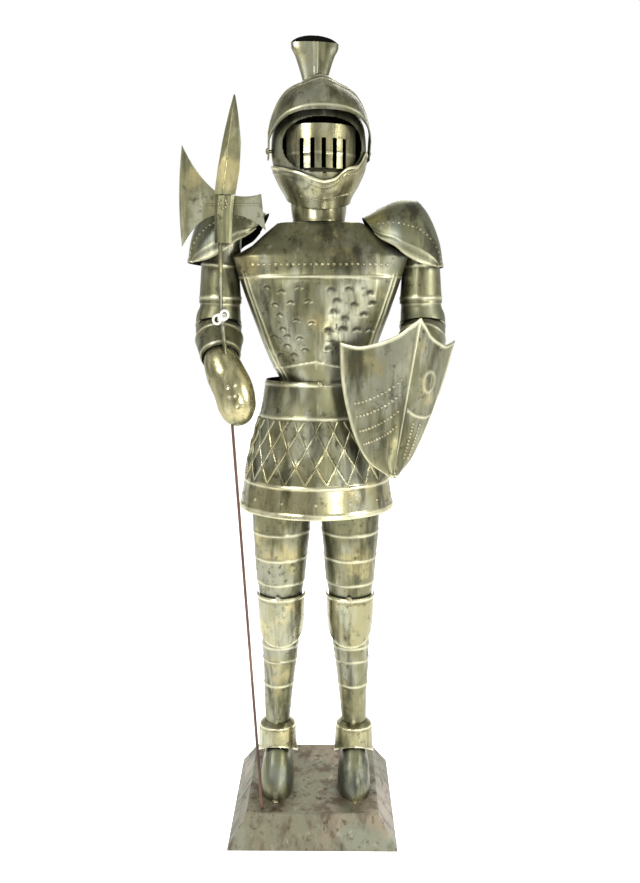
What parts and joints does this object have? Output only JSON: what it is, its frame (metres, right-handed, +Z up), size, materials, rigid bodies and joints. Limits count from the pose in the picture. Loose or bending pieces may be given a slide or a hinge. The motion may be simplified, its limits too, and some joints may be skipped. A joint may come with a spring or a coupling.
{
  "type": "suit of plate armour on plinth",
  "caption": "Hollow suit of plate armour standing on a low plinth, with a hinged visor, a halberd in one gauntlet and a pointed shield in the other.",
  "frame": {"origin": "centre of the overall width and depth, on the ground under the plinth", "axes": "+Z up, -Y the way the figure faces, +X towards the shield"},
  "size_m": [0.5918, 0.3876, 1.8],
  "materials": {
    "plate_sheet": "thin sheet metal with a patchy olive grey patina and bright polished streaks",
    "brassy_sheet": "thin sheet metal, warmer and brassier, lightly tarnished",
    "dark_sheet": "dark, oxidised olive brown sheet metal",
    "plinth": "dull pinkish tan sheet with rust along its edges",
    "rod": "reddish brown rusted rod",
    "tie": "white cord tied in a small bow"
  },
  "bodies": {
    "figure": {"ankle_cuff_left": "brassy_sheet", "ankle_cuff_right": "brassy_sheet", "backplate": "plate_sheet", "breastplate": "plate_sheet", "collar": "brassy_sheet", "elbow_left": "dark_sheet", "elbow_right": "dark_sheet", "gauntlet_cuff_left": "plate_sheet", "gauntlet_cuff_right": "plate_sheet", "halberd_axe": "plate_sheet", "halberd_lower_rod": "rod", "halberd_socket": "plate_sheet", "halberd_spike": "plate_sheet", "halberd_upper_rod": "plate_sheet", "hand_left": "brassy_sheet", "hand_right": "brassy_sheet", "helmet_bevor": "plate_sheet", "helmet_grille": "brassy_sheet", "helmet_skull": "plate_sheet", "hip_plate": "dark_sheet", "knee_cop_left": "brassy_sheet", "knee_cop_right": "brassy_sheet", "pauldron_left": "dark_sheet", "pauldron_right": "dark_sheet", "pivot_pin_left": "brassy_sheet", "pivot_pin_right": "brassy_sheet", "plinth_back": "plinth", "plinth_front": "plinth", "plinth_left": "plinth", "plinth_right": "plinth", "plinth_top": "plinth", "plume_back": "dark_sheet", "plume_front": "plate_sheet", "shield": "plate_sheet", "shield_bracket": "dark_sheet", "shin_left": "plate_sheet", "shin_right": "plate_sheet", "shoe_left": "dark_sheet", "shoe_right": "dark_sheet", "shoulder_plate": "plate_sheet", "skirt_belt": "plate_sheet", "skirt_hem": "brassy_sheet", "skirt_lattice": "plate_sheet", "thigh_left": "plate_sheet", "thigh_right": "plate_sheet", "tie": "tie", "upper_arm_left": "plate_sheet", "upper_arm_right": "plate_sheet"},
    "visor": {"visor": "plate_sheet"}
  },
  "joints": [
    {"name": "visor_hinge", "type": "hinge", "parent": "figure", "child": "visor", "pos_m": [-0.00441, 0.00083, 1.548], "axis": [0.9903, 0.1392, 0], "range_deg": [0, 40]}
  ]
}
